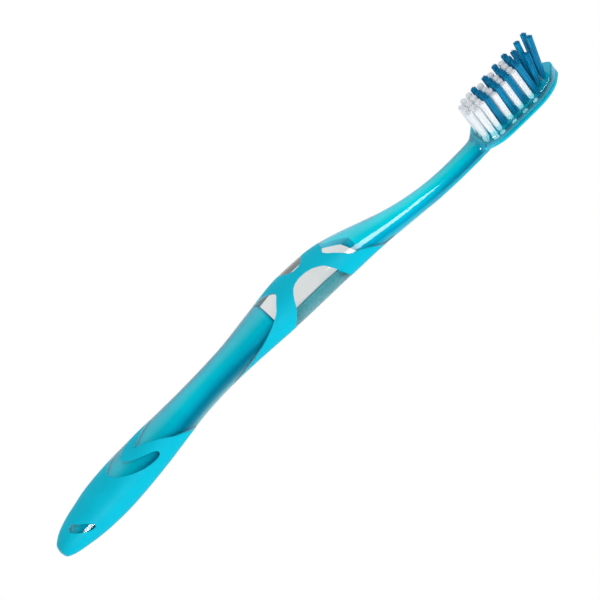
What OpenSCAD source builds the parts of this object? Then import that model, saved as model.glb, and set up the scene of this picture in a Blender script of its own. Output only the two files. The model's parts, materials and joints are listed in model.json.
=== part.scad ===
// Manual toothbrush lying on its back with the bristles up.
// X runs along the brush to the toe of the head, Y across it, Z up from the plane it rests on.

/* [Handle] */
// Overall length from the tail to the toe of the head
overall_length = 192; // [182:1:202]
// Width of the handle at the thumb grip
thumb_width = 16.4; // [15.4:0.1:17.4]
// Thickness of the handle at the thumb grip
thumb_thickness = 11.3; // [10.6:0.1:12]
// Height of the underside of the thumb grip above the plane that tail and neck rest on
arch_height = 5.4; // [4.8:0.1:6]
// Depth of the soft skins moulded over the handle
skin_depth = 1; // [0.8:0.05:1.1]
// Depth of the tinted core below the outside of the handle
core_depth = 1.4; // [1.3:0.05:1.7]
// Depth of the tinted core below the outside of the neck
neck_core_depth = 0.8; // [0.7:0.05:0.9]
// Depth of the soft strip let into the underside of the neck
strip_depth = 1; // [0.95:0.05:1.1]

/* [Head] */
// Height of the top of the clear head plate
plate_top = 6.65; // [6.4:0.05:6.9]
// Thickness of the clear head plate
plate_thickness = 3; // [2.9:0.05:3.2]
// Thickness of the soft pad on the back of the head
pad_thickness = 1.9; // [1.6:0.05:2]

/* [Bristles] */
// Diameter of one tuft
tuft_diameter = 1.7; // [1.5:0.05:1.8]
// Distance between the tufts across the head
column_pitch = 2.2; // [2.1:0.05:2.3]
// Height of the shortest tufts above the head plate
tuft_height = 9; // [8:0.1:11]
// Depth of the tuft holes in the head plate
root_depth = 2.5; // [2.2:0.05:2.6]
// Width of one bristle strand from corner to corner
strand_width = 0.44; // [0.36:0.02:0.46]
// Strands standing round the middle one of each tuft
ring_strands = 6; // [6:1:7]

/* [Hidden] */
// Gap between parts that are moulded or pressed together
fit = 0.03;
// Reach of cutters past the faces they cut
overrun = 0.5;
// Inner and outer reach of the pattern cutters, as multiples of the handle section
pattern_inner_share = -0.1;
pattern_outer_share = 6;
// Play at the edges of the pattern, as a multiple of the fit
play_share = 2;
// Sides of the handle sections, of the tufts and of the strands
section_sides = 20;
tuft_sides = 8;
strand_sides = 3;
// Tapered noses at the ends of the cores
nose_length = 1.2;
nose_inset = 0.6;
// How far the outer strands stop below the middle one and start inside the root
strand_step = 0.2;
strand_sink = 0.4;
// Distance of the ring of strands from the middle of its tuft
ring_radius = (tuft_diameter - strand_width) / 2 - fit;
// Plates that hold the tufts down
anchor_width = 1.35;
anchor_thickness = 0.25;
anchor_height = 1.4;
// Exponents of the superellipse sections of the handle and of the pad, 2 is an ellipse
handle_exponent = 2.2;
pad_exponent = 3.2;
// The pad's section is rounder than the pad is deep, its lowest part is cut off flat
pad_round = 0.15;

plate_bottom = plate_top - plate_thickness;
pad_bottom = plate_bottom - pad_thickness;
anchor_size = [anchor_thickness, anchor_width, anchor_height];
// The fit as a share of the length and of a turn round the handle
fit_share = fit / overall_length;
fit_turn = fit / (PI * thumb_thickness);
nose_share = nose_length / overall_length;

clear_colour = [0.80, 0.93, 0.96, 0.45];
core_colour = [0.02, 0.55, 0.66, 0.85];
neck_colour = [0.06, 0.74, 0.86, 0.85];
soft_colour = [0.00, 0.74, 0.86];
white_colour = [0.93, 0.94, 0.95];
blue_colour = [0.04, 0.46, 0.72];
metal_colour = [0.78, 0.74, 0.62];

// Handle and neck sections from tail to head:
// length share, share of the arch height, half width share, half thickness share
handle_shares = [
    [-0.0007, 0.3952, 0.067, 0.074],
    [0.0014, 0.3044, 0.235, 0.262],
    [0.0097, 0.1915, 0.395, 0.438],
    [0.0228, 0.1108, 0.538, 0.593],
    [0.0436, 0.0498, 0.677, 0.739],
    [0.0775, -0.0014, 0.824, 0.893],
    [0.1191, 0.0495, 0.898, 0.969],
    [0.166, 0.2097, 0.873, 0.958],
    [0.2129, 0.4296, 0.791, 0.886],
    [0.2598, 0.692, 0.69, 0.791],
    [0.3066, 0.8901, 0.629, 0.738],
    [0.3535, 0.9765, 0.635, 0.741],
    [0.4004, 1.0052, 0.725, 0.809],
    [0.442, 0.9987, 0.841, 0.897],
    [0.4785, 1.0091, 0.938, 0.961],
    [0.5201, 1.0018, 0.969, 0.97],
    [0.5566, 0.9568, 0.936, 0.939],
    [0.5931, 0.8348, 0.83, 0.857],
    [0.6296, 0.6684, 0.677, 0.726],
    [0.666, 0.4489, 0.539, 0.597],
    [0.7077, 0.2204, 0.445, 0.5],
    [0.7493, 0.0587, 0.402, 0.452],
    [0.791, -0.001, 0.398, 0.439],
    [0.8275, 0.0151, 0.412, 0.447],
];

// Root of the neck and head plate: length share, rise of the underside and of the top
// from the neck (0) to the plate (1), half width share, squareness
head_shares = [
    [0.8379, 0.0951, 0.1436, 0.4329, 2.3],
    [0.8452, 0.2998, 0.4726, 0.5061, 2.8],
    [0.8519, 0.5659, 0.9008, 0.5915, 3.4],
    [0.8597, 0.818, 1, 0.6707, 4.5],
    [0.8691, 0.9723, 1, 0.7439, 6],
    [0.8795, 1, 1, 0.7805, 7],
    [0.8952, 1, 1, 0.7866, 7],
    [0.9212, 1, 1, 0.7866, 7],
    [0.9394, 1, 1, 0.7829, 7],
    [0.9524, 1, 1, 0.7646, 7],
    [0.9629, 1, 1, 0.7195, 7],
    [0.9707, 1, 1, 0.661, 7],
    [0.9785, 1, 1, 0.5793, 7],
    [0.9847, 1, 1, 0.4817, 7],
    [0.9905, 1, 1, 0.3476, 7],
    [0.9946, 1, 1, 0.2317, 7],
    [0.998, 1, 1, 0.122, 6],
    [1, 1, 1, 0.0488, 5],
];

// Pad on the back of the head: length share, rise of the underside from neck to pad
pad_rise_shares = [
    [0.8389, 0.2677], [0.8452, 0.668], [0.8519, 0.9024], [0.8598, 1], [1, 1]
];

// Inset of the pad's sides where it starts: length share, multiple of the nose inset
pad_inset_shares = [[0.843, 1], [0.8519, 0.4], [0.8597, 0.1], [0.8691, 0]];

// Soft web round the thumb grip: share of a turn, length share of its lower and upper edge
web_shares = [
    [0.25, 0.4775, 0.5659],
    [0.275, 0.4737, 0.5692],
    [0.3028, 0.4676, 0.5755],
    [0.3333, 0.4617, 0.5827],
    [0.3694, 0.4524, 0.5897],
    [0.4111, 0.4382, 0.6003],
    [0.4611, 0.4182, 0.6191],
    [0.5222, 0.39, 0.6312],
    [0.6056, 0.3605, 0.6427],
    [0.75, 0.3431, 0.6556],
    [0.8944, 0.3605, 0.6311],
    [0.9778, 0.39, 0.6139],
    [1.0389, 0.4182, 0.5941],
    [1.0889, 0.4382, 0.5808],
    [1.1306, 0.4524, 0.5747],
    [1.1667, 0.4617, 0.573],
    [1.1972, 0.4676, 0.5724],
    [1.225, 0.4737, 0.5693],
];

// Clear window that runs from the near side of the web round the underside
belly_window_shares = [
    [0.2833, 0.516, 0.5285],
    [0.2917, 0.5087, 0.5368],
    [0.3083, 0.5014, 0.5452],
    [0.3333, 0.4962, 0.553],
    [0.375, 0.4899, 0.5587],
    [0.4306, 0.4837, 0.5645],
    [0.4944, 0.4743, 0.5696],
    [0.5639, 0.4655, 0.5738],
    [0.6083, 0.4665, 0.5728],
    [0.6528, 0.4613, 0.5801],
    [0.7, 0.4514, 0.5931],
    [0.75, 0.4457, 0.6025],
    [0.8333, 0.4441, 0.6045],
    [0.8833, 0.4472, 0.6009],
    [0.9222, 0.4603, 0.5852],
    [0.9472, 0.489, 0.5566],
];

// Small clear window high on the far side of the web
far_window_shares = [
    [1.0639, 0.5097, 0.5316],
    [1.0833, 0.4993, 0.5426],
    [1.1111, 0.4962, 0.5457],
    [1.1528, 0.5003, 0.5426],
    [1.1889, 0.5056, 0.5384],
    [1.2139, 0.5108, 0.5337],
    [1.2278, 0.518, 0.5274],
];

// Soft tail grip
tail_shares = [
    [0.25, -0.0111, 0.179],
    [0.2806, -0.0111, 0.1919],
    [0.3194, -0.0111, 0.2042],
    [0.3639, -0.0111, 0.2165],
    [0.4111, -0.0111, 0.2265],
    [0.4667, -0.0111, 0.2389],
    [0.5389, -0.0111, 0.2539],
    [0.6389, -0.0111, 0.2634],
    [0.75, -0.0111, 0.2676],
    [0.8611, -0.0111, 0.2634],
    [0.9611, -0.0111, 0.2539],
    [1.0333, -0.0111, 0.2389],
    [1.0889, -0.0111, 0.2265],
    [1.1361, -0.0111, 0.2165],
    [1.1806, -0.0111, 0.2042],
    [1.2194, -0.0111, 0.1919],
];

// Near half of the window that arches over the tail grip
arch_window_shares = [
    [0.25, 0.1259, 0.1535],
    [0.2861, 0.129, 0.1602],
    [0.3194, 0.1353, 0.1696],
    [0.3472, 0.1426, 0.1806],
    [0.375, 0.1514, 0.1926],
    [0.4, 0.1608, 0.1993],
    [0.4222, 0.1707, 0.2009],
    [0.4389, 0.1816, 0.1993],
    [0.4472, 0.191, 0.1956],
];

// Leaf shaped window on the near side close to the end of the tail
leaf_window_shares = [
    [0.2611, 0.0337, 0.0389],
    [0.2806, 0.0306, 0.0426],
    [0.3111, 0.0306, 0.0457],
    [0.3472, 0.0337, 0.0514],
    [0.3833, 0.0389, 0.0577],
    [0.4167, 0.0451, 0.0628],
    [0.4389, 0.0514, 0.0634],
    [0.4528, 0.0571, 0.0608],
];

// Soft strip under the neck
strip_shares = [
    [0.5222, 0.7858, 0.8248],
    [0.5361, 0.7546, 0.8368],
    [0.5611, 0.7399, 0.8441],
    [0.6, 0.7327, 0.8462],
    [0.6667, 0.729, 0.8473],
    [0.75, 0.7285, 0.8473],
    [0.8333, 0.729, 0.8473],
    [0.9, 0.7327, 0.8462],
    [0.9389, 0.7399, 0.8441],
    [0.9639, 0.7546, 0.8368],
    [0.9778, 0.7858, 0.8248],
];

// Length shares of the ends of the two cores and of the clear body below the tail grip
handle_core_end = 0.4483;
neck_core_ends = [0.6087, 0.8483];
tail_inner_end = 0.0097;
// Depths of the cores along the length, the neck's is deeper where the soft web lies over it
handle_core_depths = [[0, core_depth]];
neck_core_depths = [[0.6577, core_depth], [0.6686, neck_core_depth]];
// Length shares of the start of the pad and of its flat underside
pad_end = 0.843;
pad_flat_start = 0.8598;

function same(count, value) = [for (i = [1 : count]) value];

// Tuft rows from neck to toe: length share, dark, then from the near to the far column
// heights as multiples of the shortest and leans to the toe in degrees
tuft_rows = [
    [0.8566, false, same(3, 1.04), same(3, 0)],
    [0.8676, false, same(4, 1.04), same(4, 0)],
    [0.8785, false, same(4, 1.06), same(4, 0)],
    [0.8894, true, same(4, 1.1), same(4, 0)],
    [0.9003, false, same(4, 1), same(4, 0)],
    [0.9113, true, same(4, 1.12), same(4, 0)],
    [0.9222, false, same(4, 1.02), same(4, 0)],
    [0.9327, true, same(4, 1.16), same(4, 0)],
    [0.9436, false, same(4, 1.09), same(4, 0)],
    [0.9546, true, same(4, 1.2), same(4, 0)],
    [0.966, true, [1.16, 1.54, 1.14], [12, 8, 1]],
    [0.979, true, [1.52, 1.52], [12, 11]],
];

function raw_length(share) = (share - 1 / 2) * overall_length;
// The tall bristles lean out over the toe, and the brush is moved to stand centred on the origin
function tuft_reach(row, c) = raw_length(row[0]) + (row[2][c] * tuft_height - strand_step) * sin(row[3][c])
    + (ring_radius + strand_width / 2) * cos(row[3][c]);
toe_reach = raw_length(head_shares[len(head_shares) - 1][0]);
front_reach = max(toe_reach, max([for (row = tuft_rows, c = [0 : len(row[2]) - 1]) tuft_reach(row, c)]));
back_reach = raw_length(handle_shares[0][0]);
centre_shift = (front_reach + back_reach) / 2;
function at_length(share) = raw_length(share) - centre_shift;
neck_end = handle_shares[len(handle_shares) - 1];
neck_bottom = neck_end[1] * arch_height;
neck_top = neck_bottom + neck_end[3] * thumb_thickness;
function column(table, index) = [for (row = table) [row[0], row[index]]];
function blend(low, high, share) = low + (high - low) * share;
function head_low(row) = blend(neck_bottom, plate_bottom, row[1]);
function head_high(row) = blend(neck_top, plate_top, row[2]);

// All sections: length share, centre height, half width, half thickness, squareness
sections = concat(
    [for (row = handle_shares) [
        row[0],
        row[1] * arch_height + row[3] * thumb_thickness / 2,
        row[2] * thumb_width / 2,
        row[3] * thumb_thickness / 2,
        handle_exponent
    ]],
    [for (row = head_shares) [
        row[0],
        (head_low(row) + head_high(row)) / 2,
        row[3] * thumb_width / 2,
        (head_high(row) - head_low(row)) / 2,
        row[4]
    ]]
);
centre_column = column(sections, 1);
width_column = column(sections, 2);
thickness_column = column(sections, 3);
squareness_column = column(sections, 4);
first_share = sections[0][0];
last_share = sections[len(sections) - 1][0];

// Superellipse coordinate of a sine or cosine
function bend(value, squareness) = sign(value) * pow(abs(value), 2 / squareness);

function section_ring(share, centre, half_width, half_thickness, squareness) = [
    for (i = [0 : section_sides - 1])
        let (angle = 360 * i / section_sides)
            [
                at_length(share),
                half_width * bend(cos(angle), squareness),
                centre + half_thickness * bend(sin(angle), squareness)
            ]
];

// One section of the handle, grown outwards or inwards
function grown_ring(share, grow) = section_ring(
    share,
    lookup(share, centre_column),
    lookup(share, width_column) + grow,
    lookup(share, thickness_column) + grow,
    lookup(share, squareness_column)
);

// Length shares between two ends, with the table's own stations kept
function stations(first, last) = concat(
    [first],
    [for (row = sections) if (row[0] > first + fit_share && row[0] < last - fit_share) row[0]],
    [last]
);

// The skins and what lies under them meet on a loft through every second station
function inner_stations(first, last) = concat(
    [first],
    [for (i = [1 : 2 : len(sections) - 1])
        if (sections[i][0] > first + fit_share && sections[i][0] < last - fit_share) sections[i][0]],
    [last]
);

function loft_triangles(rings, sides) = [
    for (r = [0 : rings - 2], s = [0 : sides - 1], half = [0, 1])
        let (a = r * sides + s, b = r * sides + (s + 1) % sides)
            half == 0 ? [a, a + sides, b + sides] : [a, b + sides, b]
];

module loft(rings) {
    sides = len(rings[0]);
    count = len(rings);
    polyhedron(
        points = [for (ring = rings, point = ring) point],
        faces = concat(
            [[for (s = [0 : sides - 1]) s]],
            loft_triangles(count, sides),
            [[for (s = [sides - 1 : -1 : 0]) (count - 1) * sides + s]]
        )
    );
}

// The handle, neck and head plate between two length shares, grown or shrunk
module body_loft(first = first_share, last = last_share, grow = 0) {
    loft([for (share = stations(first, last)) grown_ring(share, grow)]);
}

// Coarser loft that the soft skins lie on
module inner_loft(depth, first = first_share, last = last_share) {
    loft([for (share = inner_stations(first, last)) grown_ring(share, -depth)]);
}

// Core between two length shares at the depths that a table gives, with a tapered nose at each end
module core_loft(first, last, depths, slack = 0) {
    start = first + nose_share;
    stop = last - nose_share;
    steps = [for (row = depths) if (row[0] > start && row[0] < stop) row[0]];
    first_part = len(steps) == 0 ? [] : concat([start], steps);
    rest = inner_stations(len(steps) == 0 ? start : steps[len(steps) - 1], stop);
    middle = concat(first_part, [for (share = rest) if (len(steps) == 0 || share > steps[len(steps) - 1]) share]);
    loft(concat(
        [grown_ring(first, slack - nose_inset - lookup(first, depths))],
        [for (share = middle) grown_ring(share, slack - lookup(share, depths))],
        [grown_ring(last, slack - nose_inset - lookup(last, depths))]
    ));
}

// Point on a ray from the centre line through the outside of the handle
function ray_point(share, turn, reach) =
    let (
        squareness = lookup(share, squareness_column),
        half_width = lookup(share, width_column),
        half_thickness = lookup(share, thickness_column)
    )
        [
            at_length(share),
            reach * half_width * bend(cos(360 * turn), squareness),
            lookup(share, centre_column) + reach * half_thickness * bend(sin(360 * turn), squareness)
        ];

function cell_points(row) = [
    ray_point(row[1], row[0], pattern_inner_share),
    ray_point(row[1], row[0], pattern_outer_share),
    ray_point(row[2], row[0], pattern_outer_share),
    ray_point(row[2], row[0], pattern_inner_share)
];
cell_faces = [[0, 1, 2, 3], [7, 6, 5, 4], [0, 4, 5, 1], [1, 5, 6, 2], [2, 6, 7, 3], [3, 7, 4, 0]];

// Pattern rows widened or narrowed by a multiple of the fit
function spread_rows(rows, spread) = [
    for (i = [0 : len(rows) - 1])
        let (end = i == 0 ? -1 : i == len(rows) - 1 ? 1 : 0)
            [
                rows[i][0] + end * spread * fit_turn,
                rows[i][1] - spread * fit_share,
                rows[i][2] + spread * fit_share
            ]
];

// Radial cutter through the handle with the outline that the rows give
module pattern(rows, spread = 0) {
    cells = spread_rows(rows, spread);
    for (i = [0 : len(cells) - 2]) {
        hull() {
            polyhedron(points = concat(cell_points(cells[i]), cell_points(cells[i + 1])), faces = cell_faces);
        }
    }
}

function closed(rows) = concat(rows, [[rows[0][0] + 1, rows[0][1], rows[0][2]]]);
// Rows moved to the other side of the brush
function mirrored(rows) = [for (i = [len(rows) - 1 : -1 : 0]) [1 / 2 - rows[i][0], rows[i][1], rows[i][2]]];

module web_windows(spread = 0) {
    pattern(belly_window_shares, spread);
    pattern(far_window_shares, spread);
}

module tail_windows(spread = 0) {
    pattern(concat(mirrored(arch_window_shares), arch_window_shares), spread);
    pattern(leaf_window_shares, spread);
}

// Space of the soft strip outside the neck's inner part
module strip_space(depth, spread = 0) {
    difference() {
        pattern(strip_shares, spread);
        inner_loft(depth);
    }
}

// The soft skins' space, left open to the outside
module skin_space() {
    difference() {
        union() {
            pattern(closed(web_shares), play_share);
            pattern(closed(tail_shares), play_share);
        }
        inner_loft(skin_depth + fit, tail_inner_end + fit_share);
        web_windows(-play_share);
        tail_windows(-play_share);
    }
}

tufts = [
    for (r = [0 : len(tuft_rows) - 1])
        let (row = tuft_rows[r], count = len(row[2]))
            for (c = [0 : count - 1])
                [
                    str("tuft_r", r < 9 ? "0" : "", r + 1, "_c", c + 1),
                    at_length(row[0]),
                    (c - (count - 1) / 2) * column_pitch,
                    row[2][c] * tuft_height,
                    row[3][c],
                    row[1]
                ]
];

module at_tuft(tuft) {
    translate([tuft[1], tuft[2], plate_top]) {
        rotate([0, tuft[4], 0]) {
            children();
        }
    }
}

module root_hole() {
    translate([0, 0, -root_depth - fit]) {
        cylinder(h = root_depth + fit + overrun, d = tuft_diameter + 2 * fit, $fn = tuft_sides);
    }
}

module strand(height) {
    translate([0, 0, -strand_sink]) {
        cylinder(h = height + strand_sink, d = strand_width, $fn = strand_sides);
    }
}

// One tuft: root with a slot for its anchor, middle strand and ring of strands
module tuft_form(height) {
    difference() {
        translate([0, 0, -root_depth]) {
            cylinder(h = root_depth, d = tuft_diameter, $fn = tuft_sides);
        }
        translate([
            -anchor_thickness / 2 - fit,
            -anchor_width / 2 - fit,
            -root_depth - overrun
        ]) {
            cube([anchor_thickness + 2 * fit, anchor_width + 2 * fit, anchor_height + overrun + fit]);
        }
    }
    strand(height);
    for (i = [0 : ring_strands - 1]) {
        rotate([0, 0, 360 * i / ring_strands]) {
            translate([ring_radius, 0, 0]) {
                strand(height - strand_step);
            }
        }
    }
}

// Clear body: handle, neck and head plate in one, with lands that fill the windows of the grips
module clear_body() {
    color(clear_colour) {
        difference() {
            body_loft();
            skin_space();
            strip_space(strip_depth + fit, play_share);
            core_loft(tail_inner_end, handle_core_end + fit_share, handle_core_depths, fit);
            core_loft(neck_core_ends[0] - fit_share, neck_core_ends[1] + fit_share, neck_core_depths, fit);
            for (tuft = tufts) {
                at_tuft(tuft) {
                    root_hole();
                }
            }
        }
    }
}

// Tinted core seen through the clear lower handle, open to the clear body's end under the tail grip
module handle_core() {
    color(core_colour) {
        core_loft(tail_inner_end + fit_share, handle_core_end, handle_core_depths);
    }
}

// Tinted core of the neck
module neck_core() {
    color(neck_colour) {
        difference() {
            core_loft(neck_core_ends[0], neck_core_ends[1], neck_core_depths);
            strip_space(strip_depth + fit, play_share);
        }
    }
}

// Soft web wrapped round the thumb grip
module grip_web() {
    color(soft_colour) {
        difference() {
            intersection() {
                body_loft();
                pattern(closed(web_shares));
            }
            inner_loft(skin_depth);
            web_windows();
        }
    }
}

// Soft grip over the tail
module tail_grip() {
    color(soft_colour) {
        difference() {
            intersection() {
                body_loft();
                pattern(closed(tail_shares));
            }
            inner_loft(skin_depth, tail_inner_end);
            tail_windows();
        }
    }
}

function pad_ring(share, lift = 0) =
    let (underside = blend(neck_bottom, pad_bottom, lookup(share, pad_rise_shares)) - pad_round + lift)
        section_ring(
            share,
            plate_bottom,
            lookup(share, width_column) - nose_inset * lookup(share, pad_inset_shares),
            plate_bottom - underside,
            pad_exponent
        );

// Soft pad on the back of the head with a strip that runs down the neck
module head_pad() {
    color(soft_colour) {
        union() {
            difference() {
                loft([for (share = stations(pad_end, last_share)) pad_ring(share, share == pad_end ? nose_inset : 0)]);
                difference() {
                    body_loft(grow = fit);
                    strip_space(strip_depth);
                }
                translate([at_length(pad_end) - overrun, -thumb_width / 2, plate_bottom - fit]) {
                    cube([overall_length, thumb_width, plate_top]);
                }
                translate([at_length(pad_flat_start), -thumb_width / 2, pad_bottom - plate_top]) {
                    cube([overall_length, thumb_width, plate_top]);
                }
            }
            intersection() {
                body_loft();
                strip_space(strip_depth);
            }
        }
    }
}

// One tuft of bristles in the colour of its row
module tuft_body(tuft) {
    color(tuft[5] ? blue_colour : white_colour) {
        at_tuft(tuft) {
            tuft_form(tuft[3]);
        }
    }
}

// Metal plates that hold the tufts in their holes
module tuft_anchors() {
    color(metal_colour) {
        for (tuft = tufts) {
            at_tuft(tuft) {
                translate([-anchor_thickness / 2, -anchor_width / 2, -root_depth]) {
                    cube(anchor_size);
                }
            }
        }
    }
}

clear_body();
handle_core();
neck_core();
grip_web();
tail_grip();
head_pad();
for (tuft = tufts) {
    tuft_body(tuft);
}
tuft_anchors();
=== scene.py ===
import json
import math
import random
import bpy
import numpy as np
from mathutils import Matrix, Vector

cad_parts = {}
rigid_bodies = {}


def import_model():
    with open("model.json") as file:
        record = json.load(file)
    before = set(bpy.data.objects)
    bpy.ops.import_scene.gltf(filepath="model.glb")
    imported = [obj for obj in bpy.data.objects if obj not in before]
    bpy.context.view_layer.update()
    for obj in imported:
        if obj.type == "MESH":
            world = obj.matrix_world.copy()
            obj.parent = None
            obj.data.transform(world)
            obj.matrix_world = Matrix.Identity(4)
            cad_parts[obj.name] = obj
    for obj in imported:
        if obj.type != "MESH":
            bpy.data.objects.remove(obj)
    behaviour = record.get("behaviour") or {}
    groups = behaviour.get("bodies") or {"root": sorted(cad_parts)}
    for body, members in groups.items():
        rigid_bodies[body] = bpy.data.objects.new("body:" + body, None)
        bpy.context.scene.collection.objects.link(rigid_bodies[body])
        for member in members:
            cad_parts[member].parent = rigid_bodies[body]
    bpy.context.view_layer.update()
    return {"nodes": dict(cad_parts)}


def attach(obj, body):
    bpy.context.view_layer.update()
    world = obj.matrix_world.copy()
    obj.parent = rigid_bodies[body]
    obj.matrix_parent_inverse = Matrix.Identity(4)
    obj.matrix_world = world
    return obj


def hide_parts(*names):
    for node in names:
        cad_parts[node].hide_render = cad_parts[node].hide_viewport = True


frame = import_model()
cadNodes = frame["nodes"]
mm = 0.001
random.seed(7)
print("frame loaded:", len(cadNodes), "nodes")


def deselectAll():
    for item in bpy.context.view_layer.objects:
        item.select_set(False)


def makeActive(item):
    deselectAll()
    item.select_set(True)
    bpy.context.view_layer.objects.active = item


def editMode(on):
    bpy.ops.object.mode_set(mode="EDIT" if on else "OBJECT")


def getCoords(item):
    flat = np.empty(len(item.data.vertices) * 3)
    item.data.vertices.foreach_get("co", flat)
    return flat.reshape(-1, 3)


def setCoords(item, points):
    item.data.vertices.foreach_set("co", np.asarray(points, float).ravel())
    item.data.update()


def smoothLine(knots, values, query):  # smooth curve through the measured points
    knots, values = np.asarray(knots, float), np.asarray(values, float)
    steps = np.diff(knots)
    rises = np.diff(values) / steps
    slopes = np.empty_like(values)
    slopes[1:-1] = (rises[:-1] * steps[1:] + rises[1:] * steps[:-1]) / (steps[:-1] + steps[1:])
    slopes[0], slopes[-1] = rises[0], rises[-1]
    query = np.clip(query, knots[0], knots[-1])
    cell = np.clip(np.searchsorted(knots, query) - 1, 0, len(steps) - 1)
    h = steps[cell]
    u = (query - knots[cell]) / h
    return ((1 + 2 * u) * (1 - u) ** 2 * values[cell] + u * (1 - u) ** 2 * h * slopes[cell]
            + u * u * (3 - 2 * u) * values[cell + 1] + u * u * (u - 1) * h * slopes[cell + 1])


def fromTable(rows, query, column=1):  # a table's column at any value of its first column
    return smoothLine([row[0] for row in rows], [row[column] for row in rows], query)


def startSelection(mode):  # nothing selected, ready for points or faces to be picked in code
    editMode(True)
    bpy.ops.mesh.select_all(action="DESELECT")
    bpy.ops.mesh.select_mode(type=mode)
    editMode(False)


finish = {"mergeWithin": 0.002, "smoothAngle": 35}


def finishMesh(item):
    makeActive(item)
    editMode(True)
    bpy.ops.mesh.select_all(action="SELECT")
    bpy.ops.mesh.remove_doubles(threshold=finish["mergeWithin"] * mm)
    bpy.ops.mesh.normals_make_consistent(inside=False)
    editMode(False)
    bpy.ops.object.shade_smooth_by_angle(angle=math.radians(finish["smoothAngle"]))


# measured shape of the brush: x in mm from its middle, height of the centre line, half width, half thickness
handleSections = [
    (-95.0, 2.62, 0.30, 0.22), (-94.9, 2.62, 1.02, 0.78), (-94.6, 2.65, 1.93, 1.48),
    (-94.1, 2.78, 2.55, 1.94), (-93.4, 2.93, 3.04, 2.32), (-92.3, 3.17, 3.72, 2.83),
    (-91, 3.39, 4.26, 3.24), (-87, 3.93, 5.45, 4.10), (-83, 4.24, 6.27, 4.70), (-79, 4.71, 6.92, 5.16),
    (-75, 5.07, 7.27, 5.40), (-71, 5.41, 7.40, 5.50), (-67, 5.79, 7.33, 5.49), (-63, 6.16, 7.16, 5.41),
    (-59, 6.53, 6.91, 5.27), (-55, 6.89, 6.59, 5.07), (-51, 7.27, 6.20, 4.82), (-47, 7.70, 5.83, 4.58),
    (-43, 8.10, 5.49, 4.36), (-39, 8.48, 5.25, 4.21), (-35, 8.77, 5.12, 4.15), (-31, 9.02, 5.09, 4.17),
    (-27, 9.22, 5.21, 4.18), (-23, 9.45, 5.43, 4.28), (-19, 9.73, 5.83, 4.50), (-15, 9.99, 6.30, 4.77),
    (-11, 10.23, 6.78, 5.01), (-7, 10.47, 7.26, 5.24), (-3, 10.73, 7.69, 5.43), (1, 10.83, 7.93, 5.50),
    (5, 10.77, 7.94, 5.48), (9, 10.63, 7.87, 5.40), (13, 10.29, 7.61, 5.27), (17, 9.69, 7.13, 5.03),
    (21, 8.88, 6.48, 4.66), (25, 7.94, 5.73, 4.21), (29, 6.86, 5.02, 3.78), (33, 5.79, 4.42, 3.37),
    (37, 4.84, 3.97, 3.05), (41, 4.04, 3.65, 2.82), (45, 3.39, 3.42, 2.68), (49, 2.92, 3.30, 2.55),
    (53, 2.65, 3.25, 2.50), (57, 2.56, 3.27, 2.48), (61, 2.60, 3.31, 2.49), (64, 2.69, 3.38, 2.52),
]
# x, underside, top, half width, squareness of the outline
headSections = [
    (66, 0.42, 5.35, 3.55, 2.3), (67.4, 1.15, 5.85, 4.15, 2.8), (68.7, 2.10, 6.50, 4.85, 3.4),
    (70.2, 3.00, 6.65, 5.50, 4.5), (72, 3.55, 6.65, 6.10, 6), (74, 3.65, 6.65, 6.40, 7),
    (77, 3.65, 6.65, 6.45, 7), (82, 3.65, 6.65, 6.45, 7), (85.5, 3.65, 6.65, 6.42, 7),
    (88, 3.65, 6.65, 6.27, 7), (90, 3.65, 6.65, 5.90, 7), (91.5, 3.65, 6.65, 5.42, 7),
    (93, 3.65, 6.65, 4.75, 7), (94.2, 3.65, 6.65, 3.95, 7), (95.3, 3.65, 6.65, 2.85, 7),
    (96.1, 3.65, 6.65, 1.90, 7), (96.75, 3.66, 6.64, 1.00, 6), (97.05, 3.75, 6.55, 0.40, 5),
    (97.13, 3.9, 6.4, 0.15, 4),
]
# shift moves the brush to stand centred, and level lifts the handle towards its tail so that it lies level
brush = {"shift": 1.063, "level": 0.53, "levelSpan": 138.0, "levelEnd": 57.0, "drop": 0.08,
         "squareness": 2.2, "thinnest": 0.02}

knots = [row[0] for row in handleSections] + [row[0] for row in headSections]
levelled = [row[1] + brush["level"] * max(0, brush["levelEnd"] - row[0]) / brush["levelSpan"] - brush["drop"]
            for row in handleSections]
centreValues = levelled + [(row[1] + row[2]) / 2 for row in headSections]
widthValues = [row[2] for row in handleSections] + [row[3] for row in headSections]
thickValues = [row[3] for row in handleSections] + [(row[2] - row[1]) / 2 for row in headSections]
squareValues = [brush["squareness"]] * len(handleSections) + [row[4] for row in headSections]


def squareOff(value, squareness):  # takes the sine or cosine of a circle towards a rounded square
    return np.sign(value) * np.abs(value) ** (2 / squareness)


def onSurface(x, turn, depth=0.0):  # turn in degrees, 0 = far side, 90 = top, 180 = near side
    x, turn = np.asarray(x, float), np.radians(turn)
    square = smoothLine(knots, squareValues, x)
    width = np.maximum(smoothLine(knots, widthValues, x) - depth, brush["thinnest"])
    thick = np.maximum(smoothLine(knots, thickValues, x) - depth, brush["thinnest"])
    y = width * squareOff(np.cos(turn), square)
    z = smoothLine(knots, centreValues, x) + thick * squareOff(np.sin(turn), square)
    return np.stack([(x - brush["shift"]) * mm, y * mm, z * mm], -1)


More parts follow.
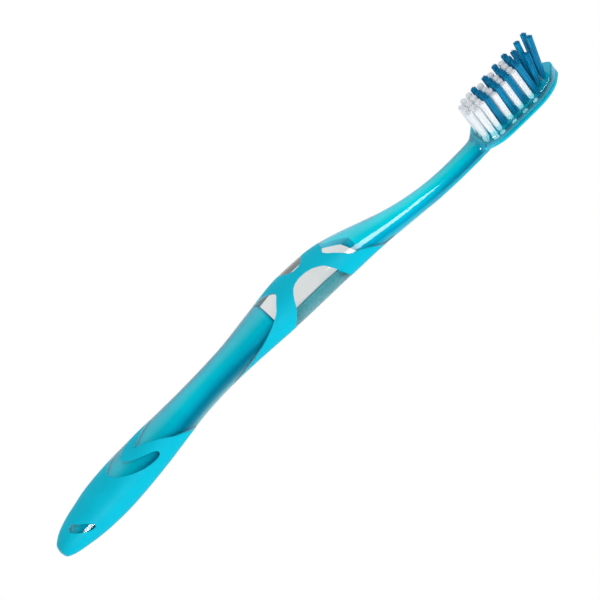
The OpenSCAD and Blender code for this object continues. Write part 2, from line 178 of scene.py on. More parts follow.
def ringTube(name, stations, sides, ringPoints):  # a circle extruded ring by ring, then its ends closed
    bpy.ops.mesh.primitive_circle_add(vertices=sides, radius=mm, fill_type="NOTHING",
                                      rotation=(0, math.pi / 2, 0))
    item = bpy.context.object
    item.name = name
    bpy.ops.object.transform_apply(location=True, rotation=True, scale=True)
    editMode(True)
    bpy.ops.mesh.select_all(action="SELECT")
    for step in np.diff(stations):
        bpy.ops.mesh.extrude_region_move(TRANSFORM_OT_translate={"value": (float(step) * mm, 0, 0)})
    editMode(False)
    turns = np.arange(sides) * 360 / sides
    setCoords(item, np.concatenate([ringPoints(x, turns) for x in stations]))
    makeActive(item)
    for firstPoint in (0, (len(stations) - 1) * sides):
        startSelection("VERT")
        for i in range(firstPoint, firstPoint + sides):
            item.data.vertices[i].select = True
        editMode(True)
        bpy.ops.mesh.edge_face_add()
        editMode(False)
    return item


def fanEnds(item):  # a leaning end isn't flat, so its one face becomes a fan
    makeActive(item)
    startSelection("FACE")
    for face in item.data.polygons:
        face.select = len(face.vertices) > 4
    editMode(True)
    bpy.ops.mesh.poke()
    bpy.ops.mesh.select_mode(type="VERT")
    editMode(False)


def spacedStations(first, last, step, fine):  # closer rings where an end rounds off
    count = int((last - first) / step)
    inner = np.linspace(first, last, count + 1)
    extra = [first + f for f in fine if first + f < last] + [last - f for f in fine if last - f > first]
    return np.array(sorted(set(np.round(np.concatenate([inner, extra]), 4))))


def loftAlong(name, stations, sides, depthAt, leanAt=None):  # a lean slides a ring's points back along x
    def ringPoints(x, turns):
        lean = leanAt(x, turns) if leanAt else np.zeros(len(turns))
        return onSurface(x - lean, turns, depthAt(x))
    item = ringTube(name, stations, sides, ringPoints)
    if leanAt:
        fanEnds(item)
    finishMesh(item)
    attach(item, "root")
    return item


clearShell = {"first": -95.0, "last": 97.13, "sides": 96, "step": 0.8,
              "fine": (0.03, 0.08, 0.16, 0.28, 0.45, 0.7, 1.0, 1.5, 2.0)}
clearStations = spacedStations(clearShell["first"], clearShell["last"], clearShell["step"], clearShell["fine"])
clearBody = loftAlong("clearBody", clearStations, clearShell["sides"], lambda x: 0.0)
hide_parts("clear_body")
print("clear body:", len(clearBody.data.vertices), "points")

# depths are below the clear plastic, and the tongue is the neck core's longer far side, over these turns
coreRod = {"depth": 1.4, "first": -93.4, "last": -8.4, "round": 1.6, "sides": 64, "step": 0.9}
neckRod = {"depth": 0.8, "deeper": 1.4, "change": (31.4, 34.5), "first": 21.4, "last": 68.4, "round": 1.3,
           "sides": 64, "step": 0.7, "tongue": 7.5, "tongueTurns": (-50, -20, 40, 88), "tongueFade": 12.0}
roundEnd = (0.02, 0.06, 0.14, 0.26, 0.42, 0.64, 0.9, 1.2)


def roundedDepth(x, rod, depth):  # extra depth near the ends makes a rounded nose
    reach = rod["round"]
    near = min(x - rod["first"], rod["last"] - x)
    if near >= reach:
        return depth
    return depth + reach * (1 - math.sqrt(max(0.0, 1 - (1 - near / reach) ** 2)))


def rodStations(rod):
    return spacedStations(rod["first"], rod["last"], rod["step"], roundEnd)


handleCore = loftAlong("handleCore", rodStations(coreRod), coreRod["sides"],
                       lambda x: roundedDepth(x, coreRod, coreRod["depth"]))
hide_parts("handle_core")


def neckDepth(x):
    low, high = neckRod["change"]
    share = min(1, max(0, (x - low) / (high - low)))
    return roundedDepth(x, neckRod, neckRod["deeper"] + share * (neckRod["depth"] - neckRod["deeper"]))


def neckTongue(x, turns):  # the end is slanted, with its far side further back than the side that shows
    signed = (turns + 180) % 360 - 180
    share = np.interp(signed, neckRod["tongueTurns"], (0, 1, 1, 0))
    fade = max(0, 1 - (x - neckRod["first"]) / neckRod["tongueFade"])
    return neckRod["tongue"] * fade * share


neckCore = loftAlong("neckCore", rodStations(neckRod), neckRod["sides"], neckDepth, neckTongue)
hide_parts("neck_core")
print("cores done")

# soft skins: a flat sheet of x and turn, cut with windows and wrapped on the brush
fullTurn = 360
flatSheet = {"degree": 0.12, "cutBelow": 3.0, "cutHeight": 6.0, "seamReach": 1e-4}  # mm, also for a degree


def closedOutline(rows, perSide=70):  # rows of turn, low x, high x make a smooth closed outline
    rows = sorted(rows)
    share = 0.5 - 0.5 * np.cos(np.linspace(0, math.pi, perSide))  # closer together at both ends
    turns = rows[0][0] + share * (rows[-1][0] - rows[0][0])
    low, high = fromTable(rows, turns), fromTable(rows, turns, 2)
    return list(zip(low, turns)) + list(zip(high[::-1], turns[::-1]))


def cutWindow(sheet, outline):
    bpy.ops.mesh.primitive_circle_add(vertices=len(outline), radius=mm, fill_type="NGON")
    cutter = bpy.context.object
    below = -flatSheet["cutBelow"] * mm
    setCoords(cutter, [(x * mm, turn * flatSheet["degree"] * mm, below) for x, turn in outline])
    makeActive(cutter)
    editMode(True)
    bpy.ops.mesh.select_all(action="SELECT")
    bpy.ops.mesh.extrude_region_move(TRANSFORM_OT_translate={"value": (0, 0, flatSheet["cutHeight"] * mm)})
    bpy.ops.mesh.select_all(action="SELECT")
    bpy.ops.mesh.normals_make_consistent(inside=False)
    editMode(False)
    makeActive(sheet)
    cut = sheet.modifiers.new("window", "BOOLEAN")
    cut.operation, cut.solver, cut.object = "DIFFERENCE", "EXACT", cutter
    bpy.ops.object.modifier_apply(modifier=cut.name)
    bpy.data.objects.remove(cutter, do_unlink=True)


def openSeam(item, skin):  # the two ends of a whole turn meet, so the walls between them go
    across = getCoords(item)[:, 1] / mm
    seams = (skin["firstTurn"] * flatSheet["degree"], skin["lastTurn"] * flatSheet["degree"])
    makeActive(item)
    startSelection("FACE")
    for face in item.data.polygons:
        corners = across[list(face.vertices)]
        face.select = any(np.abs(corners - seam).max() < flatSheet["seamReach"] for seam in seams)
    editMode(True)
    bpy.ops.mesh.delete(type="FACE")
    bpy.ops.mesh.select_mode(type="VERT")
    editMode(False)


def wrappedSkin(name, skin, lowAt, highAt, windows):
    bpy.ops.mesh.primitive_grid_add(x_subdivisions=skin["along"], y_subdivisions=skin["round"], size=2)
    item = bpy.context.object
    item.name = name
    flat = getCoords(item)
    turn = skin["firstTurn"] + (flat[:, 1] + 1) / 2 * (skin["lastTurn"] - skin["firstTurn"])
    share = (flat[:, 0] + 1) / 2
    x = lowAt(turn) + share * (highAt(turn) - lowAt(turn))
    setCoords(item, np.stack([x * mm, turn * flatSheet["degree"] * mm, np.zeros(len(x))], -1))
    makeActive(item)
    editMode(True)
    bpy.ops.mesh.select_all(action="SELECT")
    bpy.ops.mesh.extrude_region_move(TRANSFORM_OT_translate={"value": (0, 0, -skin["depth"] * mm)})
    bpy.ops.mesh.select_all(action="SELECT")
    bpy.ops.mesh.normals_make_consistent(inside=False)
    editMode(False)
    for outline in windows:
        cutWindow(item, outline)
    if skin["lastTurn"] - skin["firstTurn"] >= fullTurn:
        openSeam(item, skin)
    flat = getCoords(item) / mm
    item.data.attributes.new("inner", "FLOAT", "POINT")
    item.data.attributes["inner"].data.foreach_set("value", (-flat[:, 2] / skin["depth"]).tolist())
    depth = -flat[:, 2] - skin["proud"]
    setCoords(item, onSurface(flat[:, 0], flat[:, 1] / flatSheet["degree"], depth))
    finishMesh(item)
    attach(item, "root")
    return item


def mirroredRows(rows):
    return [(180 - turn, low, high) for turn, low, high in rows]


# the web's edges are x by degrees from the top, its windows are turn, low x, high x
webLow = [(0, -3.2), (10, -4), (18, -5), (28, -6), (37, -7), (43, -8), (50, -9.3), (55, -10.1), (65, -12.2),
          (78, -15), (90, -18), (98, -20), (113, -23), (130, -26), (155, -28.5), (180, -29)]
webHighNear = [(0, 13.8), (11.5, 14.6), (21.6, 16), (30, 17), (39, 18), (54, 19.3), (64, 22), (76, 24),
               (94, 26), (120, 28), (150, 30), (180, 31)]
webHighFar = [(0, 13.8), (17, 15), (35, 15.2), (52, 15.8), (75, 19), (90, 22), (110, 24.5), (135, 27),
              (180, 31)]
bellyWindow = [(102, 4.2, 6.6), (105, 2.8, 8.2), (111, 1.4, 9.8), (120, 0.4, 11.3), (135, -0.8, 12.4),
               (155, -2.0, 13.5), (178, -3.8, 14.5), (203, -5.5, 15.3), (219, -5.3, 15.1), (235, -6.3, 16.5),
               (252, -8.2, 19.0), (270, -9.3, 20.8), (300, -9.6, 21.2), (318, -9.0, 20.5), (332, -6.5, 17.5),
               (341, -1.0, 12.0)]
farWindow = [(442, 4.6, 6.4), (437, 3.2, 7.6), (428, 2.2, 8.5), (415, 1.2, 9.3), (400, 0.4, 9.9),
             (390, 1.0, 9.3), (383, 3.0, 7.2)]
webSkin = {"along": 64, "round": 120, "depth": 1.0, "proud": 0.03, "firstTurn": 90.0, "lastTurn": 450.0}


def fromTop(rows, turn):  # tables run from the top of the brush down either side
    away = np.abs(((turn - 90) + 180) % 360 - 180)
    return fromTable(rows, away)


def webHigh(turn):
    return np.where(turn < 270, fromTop(webHighNear, turn), fromTop(webHighFar, turn))


gripWeb = wrappedSkin("gripWeb", webSkin, lambda turn: fromTop(webLow, turn), webHigh,
                      [closedOutline(bellyWindow, 110), closedOutline(farWindow)])
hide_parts("grip_web")
print("grip web:", len(gripWeb.data.vertices), "points")

tailHigh = [(0, -60.5), (10, -58.2), (26, -55.5), (43, -53), (66, -50.5), (82, -48.5), (105, -46),
            (130, -44.5), (180, -43.5)]
archHalf = [(90, -70.7, -65.4), (103, -70.1, -64.1), (115, -68.9, -62.3), (125, -67.5, -60.2),
            (135, -65.8, -57.9), (144, -64, -56.6), (152, -62.1, -56.3), (158, -60, -56.6),
            (161, -58.2, -57.3)]
leafWindow = [(94, -88.4, -87.4), (101, -89, -86.7), (112, -89, -86.1), (125, -88.4, -85), (138, -87.4, -83.8),
              (150, -86.2, -82.8), (158, -85, -82.7), (163, -83.9, -83.2)]
tailSkin = {"along": 72, "round": 120, "depth": 1.0, "proud": 0.03, "firstTurn": -90.0, "lastTurn": 270.0,
            "tip": -95.0}
archRows = mirroredRows(archHalf)[:0:-1] + archHalf
tailGrip = wrappedSkin("tailGrip", tailSkin, lambda turn: np.full(len(turn), tailSkin["tip"]),
                       lambda turn: fromTop(tailHigh, turn),
                       [closedOutline(archRows), closedOutline(leafWindow)])
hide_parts("tail_grip")
print("tail grip:", len(tailGrip.data.vertices), "points")

# pad on the back of the head, with the strip under the neck
headPadSize = {"top": 3.75, "below": 1.60, "neckBottom": 0.12, "squareness": 3.2, "first": 66.9,
               "last": 97.13, "sides": 72, "step": 0.6, "flatFrom": 70, "flatLift": 0.15, "thinnest": 0.05}
# x with how far the pad's sides stand in, and x with the share of its underside's rise to the head
padInset = [(66.9, 0.8), (68.7, 0.42), (70.2, 0.15), (72, 0), (98, 0)]
padRise = [(66.2, 0.25), (67.4, 0.66), (68.7, 0.9), (70.2, 1), (96, 1)]
stripRows = [(188, 56, 63.5), (193, 50, 65.8), (202, 47.2, 67.2), (216, 45.8, 67.6), (240, 45.1, 67.8),
             (270, 45, 67.8), (300, 45.1, 67.8), (324, 45.8, 67.6), (338, 47.2, 67.2), (347, 50, 65.8),
             (352, 56, 63.5)]
stripSkin = {"along": 40, "round": 60, "depth": 1.0, "proud": 0.03, "firstTurn": 188.0, "lastTurn": 352.0}


def padRing(x, turns):
    size = headPadSize
    underside = size["neckBottom"] + fromTable(padRise, x) * (size["below"] - size["neckBottom"])
    lowest = underside + size["flatLift"] if x >= size["flatFrom"] else underside
    width = max(size["thinnest"], smoothLine(knots, widthValues, x) - fromTable(padInset, x))
    angle = np.radians(turns)
    y = width * squareOff(np.cos(angle), size["squareness"])
    z = size["top"] + (size["top"] - underside) * squareOff(np.sin(angle), size["squareness"])
    z = np.clip(z, lowest, size["top"])
    return np.stack([np.full(len(turns), (x - brush["shift"]) * mm), y * mm, z * mm], -1)


def softPad():
    size = headPadSize
    stations = spacedStations(size["first"], size["last"], size["step"], clearShell["fine"])
    pad = ringTube("headPad", stations, size["sides"], padRing)
    finishMesh(pad)
    strip = wrappedSkin("neckStrip", stripSkin, lambda turn: fromTable(stripRows, turn),
                        lambda turn: fromTable(stripRows, turn, 2), [])
    makeActive(pad)
    strip.select_set(True)
    bpy.ops.object.join()
    return bpy.context.object


headPad = softPad()
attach(headPad, "root")
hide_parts("head_pad")
print("head pad:", len(headPad.data.vertices), "points")

# tufts: one filament modelled once, gathered to a bundle, copied to each hole
filament = {"radius": 0.105, "sides": 5, "taper": 0.45, "tip": 0.12, "tipStep": 0.01}
bundle = {"radius": 0.80, "count": 46, "turn": 2.39996, "jitter": 0.05, "heightSpread": 0.16, "splay": 1.10,
          "root": 2.5, "sway": 0.25}
headPlate = {"top": 6.65, "pitch": 2.2}
# x, dark, heights from the near to the far column, lean to the toe in degrees
tuftRows = [
    (69.6, False, [9.4] * 3, [0] * 3), (71.7, False, [9.4] * 4, [0] * 4), (73.8, False, [9.5] * 4, [0] * 4),
    (75.9, True, [9.9] * 4, [0] * 4), (78.0, False, [9.0] * 4, [0] * 4), (80.1, True, [10.1] * 4, [0] * 4),
    (82.2, False, [9.2] * 4, [0] * 4), (84.2, True, [10.4] * 4, [0] * 4), (86.3, False, [9.8] * 4, [0] * 4),
    (88.4, True, [10.8] * 4, [0] * 4), (90.6, True, [10.4, 13.9, 10.3], [12, 8, 1]),
    (93.1, True, [13.7, 13.7], [12, 11]),
]


def oneFilament():  # runs from 0 to 1 in height, its place and height come with the bundle
    bpy.ops.mesh.primitive_cylinder_add(vertices=filament["sides"], radius=filament["radius"] * mm, depth=1,
                                        end_fill_type="NGON", location=(0, 0, 0.5))
    item = bpy.context.object
    bpy.ops.object.transform_apply(location=True, rotation=True, scale=True)
    makeActive(item)
    startSelection("FACE")
    for face in item.data.polygons:
        face.select = face.normal.z > 0.9
    editMode(True)
    bpy.ops.mesh.extrude_region_move(TRANSFORM_OT_translate={"value": (0, 0, filament["tipStep"])})
    bpy.ops.transform.resize(value=(filament["taper"], filament["taper"], 1))
    bpy.ops.mesh.select_mode(type="VERT")
    editMode(False)
    return item


def bundleOfFilaments():
    seed = oneFilament()
    copies = []
    for i in range(bundle["count"]):
        copy = seed.copy()
        copy.data = seed.data.copy()
        bpy.context.scene.collection.objects.link(copy)
        reach = bundle["radius"] * math.sqrt((i + 0.5) / bundle["count"])
        angle = i * bundle["turn"]
        x = reach * math.cos(angle) + random.uniform(-1, 1) * bundle["jitter"]
        y = reach * math.sin(angle) + random.uniform(-1, 1) * bundle["jitter"]
        lower = random.random() * bundle["heightSpread"]
        points = getCoords(copy)
        # the rounded end keeps its length when the filament is stretched
        tip = np.clip((points[:, 2] - 1) / filament["tipStep"], 0, 1) * filament["tip"]
        points[:, 2] = np.minimum(points[:, 2], 1)
        splay = 1 + (bundle["splay"] - 1) * points[:, 2]
        points[:, 0] += x * mm * splay
        points[:, 1] += y * mm * splay
        tip -= lower * (points[:, 2] > 0.5)
        copy.data.attributes.new("tipLength", "FLOAT", "POINT")
        copy.data.attributes["tipLength"].data.foreach_set("value", tip.tolist())
        setCoords(copy, points)
        copies.append(copy)
    bpy.data.objects.remove(seed, do_unlink=True)
    deselectAll()
    for copy in copies:
        copy.select_set(True)
    bpy.context.view_layer.objects.active = copies[0]
    bpy.ops.object.join()
    return bpy.context.object


bundleMesh = bundleOfFilaments()
bundlePoints = getCoords(bundleMesh)
tipLengths = np.empty(len(bundlePoints))
bundleMesh.data.attributes["tipLength"].data.foreach_get("value", tipLengths)
tuftPieces = {True: [], False: []}
for r, (rowX, dark, heights, leans) in enumerate(tuftRows):
    for c, (height, lean) in enumerate(zip(heights, leans)):
        tuft = bundleMesh.copy()
        tuft.data = bundleMesh.data.copy()
        tuft.name = "bristleTuft%02d_%d" % (r + 1, c + 1)
        bpy.context.scene.collection.objects.link(tuft)
        turn = random.random() * 2 * math.pi
        points = bundlePoints.copy()
        points[:, 2] = (-bundle["root"] + points[:, 2] * (height + bundle["root"]) + tipLengths) * mm
        flatX, flatY = points[:, 0].copy(), points[:, 1].copy()
        points[:, 0] = flatX * math.cos(turn) - flatY * math.sin(turn)
        points[:, 1] = flatX * math.sin(turn) + flatY * math.cos(turn)
        bowX = random.uniform(-bundle["sway"], bundle["sway"])  # each tuft sways a little
        bowY = random.uniform(-bundle["sway"], bundle["sway"])
        above = np.maximum(points[:, 2], 0) / (height * mm)
        points[:, 0] += bowX * above ** 2 * mm
        points[:, 1] += bowY * above ** 2 * mm
        leaning = math.radians(lean)
        x = points[:, 0] * math.cos(leaning) + points[:, 2] * math.sin(leaning)
        z = -points[:, 0] * math.sin(leaning) + points[:, 2] * math.cos(leaning)
        across = (c - (len(heights) - 1) / 2) * headPlate["pitch"]
        setCoords(tuft, np.stack([x + (rowX - brush["shift"]) * mm, points[:, 1] + across * mm,
                                  z + headPlate["top"] * mm], -1))
        tuft.data.attributes.remove(tuft.data.attributes["tipLength"])
        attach(tuft, "root")
        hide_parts("tuft_r%02d_c%d" % (r + 1, c + 1))
        tuftPieces[dark].append(tuft)
bpy.data.objects.remove(bundleMesh, do_unlink=True)
print("tufts:", len(tuftPieces[True]), "dark,", len(tuftPieces[False]), "white")


# materials
def newMaterial(name):
    material = bpy.data.materials.new(name)
    material.use_nodes = True
    return material, material.node_tree, material.node_tree.nodes["Principled BSDF"]


def setInputs(tree, node, values):  # another node's output is linked, a plain value is set
    for name, value in values.items():
        if isinstance(value, bpy.types.NodeSocket):
            tree.links.new(value, node.inputs[name])
        else:
            node.inputs[name].default_value = value


def objectAxes(tree):  # where a point lies in the frame, as X, Y and Z
    coord = tree.nodes.new("ShaderNodeTexCoord")
    split = tree.nodes.new("ShaderNodeSeparateXYZ")
    setInputs(tree, split, {"Vector": coord.outputs["Object"]})
    return split.outputs


def readAttribute(tree, name):
    attribute = tree.nodes.new("ShaderNodeAttribute")
    attribute.attribute_name = name
    return attribute.outputs["Fac"]


def addRange(tree, source, start, end, low=0.0, high=1.0, smooth=False):  # start to end becomes low to high
    ranged = tree.nodes.new("ShaderNodeMapRange")
    ranged.interpolation_type = "SMOOTHSTEP" if smooth else "LINEAR"
    setInputs(tree, ranged, {"Value": source, "From Min": start, "From Max": end,
                             "To Min": low, "To Max": high})
    return ranged.outputs["Result"]


def addMath(tree, operation, first, second):
    node = tree.nodes.new("ShaderNodeMath")
    node.operation = operation
    setInputs(tree, node, {0: first, 1: second})
    return node.outputs["Value"]


def mixColours(tree, share, first, second, blend="MIX"):
    mix = tree.nodes.new("ShaderNodeMix")
    mix.data_type = "RGBA"
    mix.blend_type = blend
    setInputs(tree, mix, {"Factor": share, "A": first, "B": second})
    return mix.outputs["Result"]


def addNoise(tree, scale, detail=3.0, stretch=None):
    coord = tree.nodes.new("ShaderNodeTexCoord")
    noise = tree.nodes.new("ShaderNodeTexNoise")
    place = coord.outputs["Object"]
    if stretch:
        mapping = tree.nodes.new("ShaderNodeMapping")
        setInputs(tree, mapping, {"Scale": stretch, "Vector": place})
        place = mapping.outputs["Vector"]
    setInputs(tree, noise, {"Scale": scale, "Detail": detail, "Vector": place})
    return noise.outputs["Fac"]


noiseSpan = (0.3, 0.7)  # nearly all of a noise lies between these


def noiseBetween(tree, low, high, scale, detail=3.0, stretch=None):
    return addRange(tree, addNoise(tree, scale, detail, stretch), *noiseSpan, low, high)


def passShadows(tree, shader, tint):  # light reaches what lies inside the plastic
    path = tree.nodes.new("ShaderNodeLightPath")
    through = tree.nodes.new("ShaderNodeBsdfTransparent")
    setInputs(tree, through, {"Color": tint})
    mix = tree.nodes.new("ShaderNodeMixShader")
    either = addMath(tree, "MAXIMUM", path.outputs["Is Shadow Ray"], path.outputs["Is Diffuse Ray"])
    setInputs(tree, mix, {"Fac": either, 1: shader.outputs["BSDF"], 2: through.outputs["BSDF"]})
    setInputs(tree, tree.nodes["Material Output"], {"Surface": mix.outputs["Shader"]})


# places along the brush are in metres in the looks, as the nodes read them
clearLook = {"colour": (0.88, 0.92, 0.92, 1), "headColour": (0.22, 0.70, 0.78, 1), "headFrom": 0.058,
             "headTo": 0.070, "paintedHeadGlow": (0.0, 0.55, 0.62, 1), "paintedGlow": 0.07, "ior": 1.47,
             "roughness": (0.06, 0.10), "noise": 400, "shadow": (0.96, 0.99, 1, 1)}
clearPlastic, tree, shader = newMaterial("clearPlastic")
towardsHead = addRange(tree, objectAxes(tree)["X"], clearLook["headFrom"], clearLook["headTo"], smooth=True)
setInputs(tree, shader, {
    "Base Color": mixColours(tree, towardsHead, clearLook["colour"], clearLook["headColour"]),
    "Roughness": noiseBetween(tree, *clearLook["roughness"], clearLook["noise"]),
    "Transmission Weight": 1.0,
    "IOR": clearLook["ior"],
    "Emission Color": clearLook["paintedHeadGlow"],
    "Emission Strength": addMath(tree, "MULTIPLY", towardsHead, clearLook["paintedGlow"]),  # painted glow: the head plate gives off light of its own
})
passShadows(tree, shader, clearLook["shadow"])
clearBody.data.materials.append(clearPlastic)

# tints, with painted light and shade by facing, run from the side that faces down, -1, to the side that faces
# up, 1
coreLook = {
    "handle": {"shadedTints": [(-1, (0.38, 0.88, 0.90, 1)), (-0.72, (0.10, 0.50, 0.60, 1)),
                         (-0.3, (0, 0.23, 0.36, 1)), (0.35, (0, 0.23, 0.37, 1)),
                         (0.78, (0, 0.50, 0.70, 1)), (1, (0, 0.76, 0.92, 1))],
               "transmission": 0.25, "end": None},
    "neck": {"shadedTints": [(-1, (0.02, 0.75, 0.88, 1)), (-0.45, (0, 0.50, 0.72, 1)), (0.15, (0, 0.41, 0.62, 1)),
                       (0.7, (0, 0.64, 0.90, 1)), (1, (0, 0.90, 1, 1))],
             "transmission": 0.10, "end": 0.75},
    # shade and heel are painted shade that darkens the neck towards the head
    "shadeFrom": 0.038, "shadeTo": 0.064, "shade": (1, 0.56, 0.60, 1), "shadeBelow": (0.80, 1.0),
    "topShade": 0.45, "heelFrom": 0.0595, "heelTo": 0.067, "heel": (1, 0.68, 0.72, 1),
    "swirl": 60, "swirlStretch": (1, 4, 4), "swirlTint": (0.9, 0.9, 0.9, 1),
    "ior": 1.02, "roughness": 0.25, "endFacing": -0.3,
}


def markUpward(item, endValue):  # keeps how far each point faces up, which sets the painted shade, or one value for the end to the tail, which paints that cap lighter
    normals = np.empty(len(item.data.vertices) * 3)
    item.data.vertex_normals.foreach_get("vector", normals)
    normals = normals.reshape(-1, 3)
    upward = normals[:, 2]
    if endValue is not None:
        upward = np.where(normals[:, 0] < coreLook["endFacing"], endValue, upward)
    item.data.attributes.new("upward", "FLOAT", "POINT")
    item.data.attributes["upward"].data.foreach_set("value", upward.tolist())


def tintedPlasticWithPaintedShade(name, look):
    material, tree, shader = newMaterial(name)
    upward = addRange(tree, readAttribute(tree, "upward"), -1, 1)
    ramp = tree.nodes.new("ShaderNodeValToRGB")
    while len(ramp.color_ramp.elements) < len(look["shadedTints"]):
        ramp.color_ramp.elements.new(0.5)
    for stop, (place, tint) in zip(ramp.color_ramp.elements, look["shadedTints"]):
        stop.position = (place + 1) / 2
        stop.color = tint
    setInputs(tree, ramp, {"Fac": upward})
    swirl = noiseBetween(tree, 0, 1, coreLook["swirl"], 2, coreLook["swirlStretch"])
    colour = mixColours(tree, swirl, ramp.outputs["Color"], coreLook["swirlTint"], "MULTIPLY")
    along = objectAxes(tree)["X"]
    # painted shade: the neck darkens towards the head, where the soft strip below keeps light away, less so on
    # its top
    shaded = addRange(tree, along, coreLook["shadeFrom"], coreLook["shadeTo"], smooth=True)
    below = addRange(tree, upward, *coreLook["shadeBelow"], 1, coreLook["topShade"])
    colour = mixColours(tree, addMath(tree, "MULTIPLY", shaded, below), colour, coreLook["shade"], "MULTIPLY")
    # painted shade: a further darkening at the heel, where the neck meets the head
    heel = addRange(tree, along, coreLook["heelFrom"], coreLook["heelTo"], smooth=True)
    setInputs(tree, shader, {
        "Base Color": mixColours(tree, heel, colour, coreLook["heel"], "MULTIPLY"),
        "Transmission Weight": look["transmission"],
        "IOR": coreLook["ior"],
        "Roughness": coreLook["roughness"],
    })
    return material


for item, name in ((handleCore, "handle"), (neckCore, "neck")):
    markUpward(item, coreLook[name]["end"])
    item.data.materials.append(tintedPlasticWithPaintedShade(name + "Tint", coreLook[name]))

softLook = {"colour": (0.0, 0.51, 0.68, 1), "shade": (0.0, 0.47, 0.64, 1), "mottle": 140,
            "inner": (0.10, 0.40, 0.45, 1), "wallShare": 8, "specular": 0.06, "roughness": (0.42, 0.55),
            "noise": 500, "grain": 2600, "grainStrength": 0.25, "grainDepth": 0.00002}
softGrip, tree, shader = newMaterial("softGrip")
mottled = mixColours(tree, noiseBetween(tree, 0, 1, softLook["mottle"]), softLook["colour"], softLook["shade"])
# the side that is moulded to the clear plastic looks paler through it, and the walls keep the outside's colour
bonded = addMath(tree, "POWER", readAttribute(tree, "inner"), softLook["wallShare"])
grain = tree.nodes.new("ShaderNodeBump")
setInputs(tree, grain, {"Strength": softLook["grainStrength"], "Distance": softLook["grainDepth"],
                        "Height": addNoise(tree, softLook["grain"], 2)})
setInputs(tree, shader, {
    "Base Color": mixColours(tree, bonded, mottled, softLook["inner"]),
    "Roughness": noiseBetween(tree, *softLook["roughness"], softLook["noise"]),
    "Specular IOR Level": softLook["specular"],
    "Normal": grain.outputs["Normal"],
})
for item in (gripWeb, tailGrip, headPad):
    item.data.materials.clear()
    item.data.materials.append(softGrip)

# fade is where the darker root colour, painted shade where the tufts crowd at the plate, turns to the tip's,
# in mm over the head plate
bristleLook = {
    "white": {"tip": (0.87, 0.89, 0.90, 1), "root": (0.74, 0.84, 0.86, 1), "dull": (0.86, 0.88, 0.92, 1),
              "paintedGlow": 0.09},
    "blue": {"tip": (0.0, 0.31, 0.57, 1), "root": (0.0, 0.14, 0.28, 1), "dull": (0.5, 0.55, 0.62, 1),
             "paintedGlow": 0.05},
    "fade": (-1, 4), "noise": 3000, "stretch": (1, 1, 0.02), "roughness": 0.38, "specular": 0.2,
}


def bristleMaterial(name, look):
    material, tree, shader = newMaterial(name)
    start, end = [(headPlate["top"] + height) * mm for height in bristleLook["fade"]]
    colour = mixColours(tree, addRange(tree, objectAxes(tree)["Z"], start, end), look["root"], look["tip"])
    vary = noiseBetween(tree, 0, 1, bristleLook["noise"], 1, bristleLook["stretch"])
    colour = mixColours(tree, vary, colour, look["dull"], "MULTIPLY")
    setInputs(tree, shader, {
        "Base Color": colour,
        "Roughness": bristleLook["roughness"],
        "Specular IOR Level": bristleLook["specular"],
        "Emission Color": colour,
        "Emission Strength": look["paintedGlow"],  # painted glow that lightens the shaded gaps in the bundle
    })
    return material


whiteBristle = bristleMaterial("whiteBristle", bristleLook["white"])
blueBristle = bristleMaterial("blueBristle", bristleLook["blue"])
for dark, pieces in tuftPieces.items():
    for tuft in pieces:
        tuft.data.materials.clear()
        tuft.data.materials.append(blueBristle if dark else whiteBristle)

anchorLook = {"colour": (0.72, 0.62, 0.38, 1), "roughness": (0.28, 0.42), "noise": 900}
anchorMetal, tree, shader = newMaterial("anchorMetal")
setInputs(tree, shader, {"Base Color": anchorLook["colour"], "Metallic": 1.0,
                         "Roughness": noiseBetween(tree, *anchorLook["roughness"], anchorLook["noise"])})
anchors = cadNodes["tuft_anchors"]
anchors.data.materials.clear()
anchors.data.materials.append(anchorMetal)
print("materials done")

# world: each kind of ray sees its own brightness, and reflections darken towards where the camera stands
studio = {"ambient": 0.66, "background": 1.0, "throughPlastic": 0.80, "reflected": 1.15, "darkAbove": 0.60,
          "brightBelow": -0.15, "darkAround": (0.30, -0.70, 0.648)}
world = bpy.data.worlds.new("studio")
bpy.context.scene.world = world
world.use_nodes = True
tree = world.node_tree
path = tree.nodes.new("ShaderNodeLightPath")
direction = tree.nodes.new("ShaderNodeTexCoord")
facing = tree.nodes.new("ShaderNodeVectorMath")
facing.operation = "DOT_PRODUCT"
setInputs(tree, facing, {0: direction.outputs["Generated"], 1: studio["darkAround"]})
reflected = addRange(tree, facing.outputs["Value"], studio["darkAbove"], studio["brightBelow"], 0,
                     studio["reflected"], smooth=True)


def switchLight(ray, before, after):  # the second light for this kind of ray, the first for the others
    choose = tree.nodes.new("ShaderNodeMix")
    setInputs(tree, choose, {"Factor": path.outputs[ray], "A": before, "B": after})
    return choose.outputs["Result"]


light = switchLight("Is Glossy Ray", studio["ambient"], reflected)
light = switchLight("Is Transmission Ray", light, studio["throughPlastic"])
light = switchLight("Is Camera Ray", light, studio["background"])
setInputs(tree, tree.nodes["Background"], {"Color": (1, 1, 1, 1), "Strength": light})


def awayFrom(azimuth, elevation, distance):  # azimuth 0 is the camera's side, 90 the head's end
    az, el = math.radians(azimuth), math.radians(elevation)
    return (math.sin(az) * math.cos(el) * distance, -math.cos(az) * math.cos(el) * distance,
            math.sin(el) * distance)


def aimAt(item, place, target):
    item.location = place
    item.rotation_euler = (Vector(target) - Vector(place)).to_track_quat("-Z", "Y").to_euler()


def addLamp(name, place, target, width, length, power, without):
    data = bpy.data.lights.new(name, "AREA")
    data.shape = "RECTANGLE"
    data.size, data.size_y = width, length
    data.energy = power
    lamp = bpy.data.objects.new(name, data)
    aimAt(lamp, place, target)
    lamp.visible_glossy = without != "glossy"
    lamp.visible_diffuse = without != "diffuse"
    lamp.visible_transmission = False  # no lamp shows through the clear plastic
    bpy.context.scene.collection.objects.link(lamp)


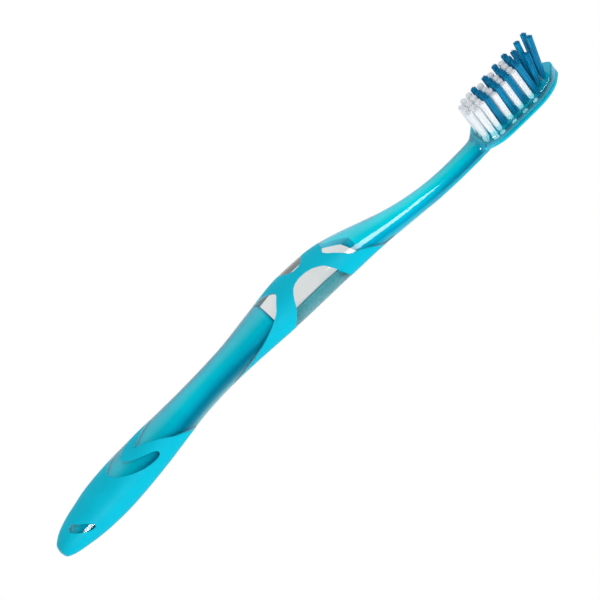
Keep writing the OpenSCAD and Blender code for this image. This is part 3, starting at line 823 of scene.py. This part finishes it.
def addCard(name, place, target, width, length, colour):  # card that only the clear plastic shows
    bpy.ops.mesh.primitive_plane_add(size=1)
    card = bpy.context.object
    card.name = name
    card.scale = (width, length, 1)
    aimAt(card, place, target)
    material, tree, shader = newMaterial(name)
    setInputs(tree, shader, {"Base Color": colour, "Specular IOR Level": 0})
    card.data.materials.append(material)
    card.visible_camera = False
    card.visible_diffuse = False
    card.visible_shadow = False
    card.visible_glossy = False


# place, target, width, length, watts, and the light that a lamp doesn't give
lamps = {
    "keyLamp": (awayFrom(20, 35, 0.7), (0, 0, 0.005), 0.30, 0.30, 1.0, "glossy"),
    "streakLamp": (awayFrom(64, 46, 0.6), (0.03, 0, 0.008), 0.24, 0.40, 3.0, "diffuse"),
    "frontLamp": (awayFrom(-10, -8, 0.7), (0, 0, 0.005), 0.5, 0.4, 2.2, "glossy"),
    "leafLamp": ((-0.31, -0.44, 0.30), (-0.085, 0, 0.005), 0.18, 0.26, 2.8, "diffuse"),
    "topLamp": (awayFrom(180, 60, 0.7), (0, 0, 0.005), 0.5, 0.3, 0.5, "glossy"),
}
# place, target, width, length, colour
cards = {
    "horizonCard": (awayFrom(180, 0, 1.5), (0, 0, 0), 3.0, 0.30, (0.01, 0.17, 0.23, 1)),
    "floorCard": ((0, -0.16, -0.22), (0, -0.16, 0), 1.2, 0.5, (0.13, 0.15, 0.15, 1)),
}
for name, values in lamps.items():
    addLamp(name, *values)
for name, values in cards.items():
    addCard(name, *values)

# tilt is the slant of the brush in the picture, in degrees
viewSet = {"azimuth": -5.0, "elevation": 42.0, "tilt": 44.3, "distance": 0.92, "lens": 200.0,
           "sensor": 36.0, "aim": (-0.000313, 0.0, 0.0082), "clip": (0.01, 10)}


def addCamera():
    back = Vector(awayFrom(viewSet["azimuth"], viewSet["elevation"], 1))
    az = math.radians(viewSet["azimuth"])
    right = Vector((math.cos(az), math.sin(az), 0))
    up = back.cross(right)
    lengthAngle = math.atan2(up.x, right.x)  # how the brush's own length lies before the camera is tilted
    roll = math.radians(viewSet["tilt"]) - lengthAngle
    turnedRight = right * math.cos(roll) - up * math.sin(roll)
    turnedUp = right * math.sin(roll) + up * math.cos(roll)
    matrix = Matrix((turnedRight, turnedUp, back)).transposed().to_4x4()
    matrix.translation = Vector(viewSet["aim"]) + back * viewSet["distance"]
    data = bpy.data.cameras.new("camera")
    data.lens = viewSet["lens"]
    data.sensor_width = viewSet["sensor"]
    data.clip_start, data.clip_end = viewSet["clip"]
    camera = bpy.data.objects.new("camera", data)
    camera.matrix_world = matrix
    bpy.context.scene.collection.objects.link(camera)
    bpy.context.scene.camera = camera


addCamera()
bpy.context.scene.view_settings.view_transform = "Standard"
print("camera and lamps done")

bpy.context.view_layer.update()
